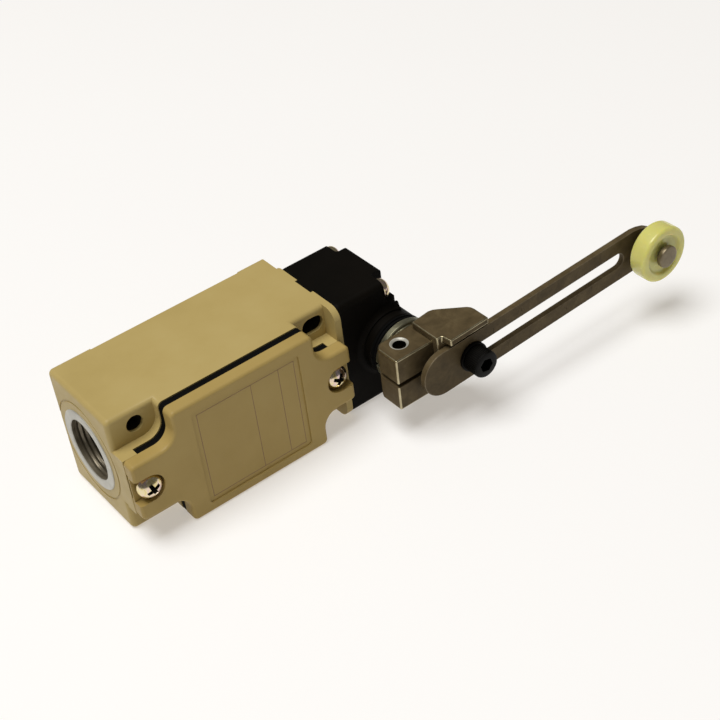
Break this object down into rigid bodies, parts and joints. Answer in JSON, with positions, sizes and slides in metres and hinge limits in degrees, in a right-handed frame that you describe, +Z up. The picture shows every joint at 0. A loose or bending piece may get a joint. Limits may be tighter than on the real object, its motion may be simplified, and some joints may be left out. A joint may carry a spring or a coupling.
{
  "type": "roller lever limit switch",
  "caption": "Metal-housed limit switch with a screwed cover, a turret head and an adjustable roller lever that turns a shaft to work an enclosed contact block.",
  "frame": {"origin": "on the mounting face, half way between its two round screw holes", "axes": "+X along the housing from the conduit entry to the head and the roller, +Y out of the mounting face (the cover and the shaft point to -Y), +Z up out of the upper side face"},
  "size_m": [0.1831, 0.0713, 0.04],
  "materials": {
    "beige_paint": "satin stoved paint on a die-cast body, fine orange peel, worn bright on edges",
    "black_paint": "semi-gloss black paint on a die-cast head",
    "black_rubber": "matt moulded rubber",
    "bronzed_steel": "bronze-grey passivated steel, brushed, with bright edges",
    "black_steel": "black oxide",
    "zinc_plate": "bright zinc plate with a faint yellow chromate",
    "bright_steel": "ground steel",
    "hardened_steel": "hardened steel",
    "nylon": "pale yellow-green nylon, slightly translucent",
    "spring_steel": "spring wire",
    "bronze": "sintered bronze",
    "brass": "rolled brass",
    "silver": "silver alloy on a copper strip",
    "pale_resin": "moulded resin",
    "red_resin": "moulded resin",
    "green_paint": "green painted screw"
  },
  "bodies": {
    "housing": {"housing": "beige_paint", "cover": "beige_paint", "head_housing": "black_paint", "cover_gasket": "black_rubber", "head_seal": "black_rubber", "shaft_dust_seal": "black_rubber", "cover_screw_conduit_end": "zinc_plate", "cover_screw_head_end": "zinc_plate", "head_screw_upper_back": "zinc_plate", "head_screw_lower_back": "zinc_plate", "head_screw_upper_front": "zinc_plate", "head_screw_lower_front": "zinc_plate", "terminal_screw_closing_lower": "zinc_plate", "terminal_screw_closing_upper": "zinc_plate", "terminal_screw_opening_lower": "zinc_plate", "terminal_screw_opening_upper": "zinc_plate", "block_screw_lower": "zinc_plate", "block_screw_upper": "zinc_plate", "ground_washer": "zinc_plate", "return_spring": "spring_steel", "plunger_spring": "spring_steel", "contact_spring": "spring_steel", "bearing_bush": "bronze", "terminal_closing_lower": "brass", "terminal_closing_upper": "brass", "terminal_opening_lower": "brass", "terminal_opening_upper": "brass", "switch_case": "pale_resin", "switch_lid": "pale_resin", "ground_screw": "green_paint"},
    "shaft": {"shaft": "bright_steel", "cam": "hardened_steel"},
    "lever": {"lever_clamp": "bronzed_steel", "clamp_bolt": "black_steel", "arm_bracket": "bronzed_steel", "arm_washer": "black_steel", "arm_bolt": "black_steel"},
    "arm": {"lever_arm": "bronzed_steel", "roller_pin": "bronzed_steel", "roller_spacer": "bronzed_steel"},
    "roller": {"roller": "nylon"},
    "plunger": {"head_plunger": "bright_steel"},
    "contacts": {"contact_carrier": "red_resin", "contact_bridge_closing": "silver", "contact_bridge_opening": "silver"}
  },
  "joints": [
    {"name": "lever_rotation", "type": "hinge", "parent": "housing", "child": "shaft", "pos_m": [0.0826, -0.03, 0], "axis": [0, 1, 0], "range_deg": [-80, 80], "stiffness_Nm_per_rad": 0.8},
    {"name": "lever_setting", "type": "hinge", "parent": "shaft", "child": "lever", "pos_m": [0.0826, -0.05, 0], "axis": [0, 1, 0], "continuous": true},
    {"name": "arm_slide", "type": "slide", "parent": "lever", "child": "arm", "axis": [0.999, 0, 0.0445], "range_m": [-0.057, 0]},
    {"name": "roller_spin", "type": "hinge", "parent": "arm", "child": "roller", "pos_m": [0.16512, -0.066, 0.00367], "axis": [0, 1, 0], "continuous": true},
    {"name": "plunger_slide", "type": "slide", "parent": "housing", "child": "plunger", "axis": [1, 0, 0], "range_m": [-0.0014, 0], "stiffness_N_per_m": 2500, "springref_m": 0.0002},
    {"name": "contact_slide", "type": "slide", "parent": "housing", "child": "contacts", "axis": [1, 0, 0], "range_m": [-0.0014, 0]}
  ],
  "couplings": [
    {"joint": "contact_slide", "follows": "plunger_slide", "ratio": 1}
  ]
}
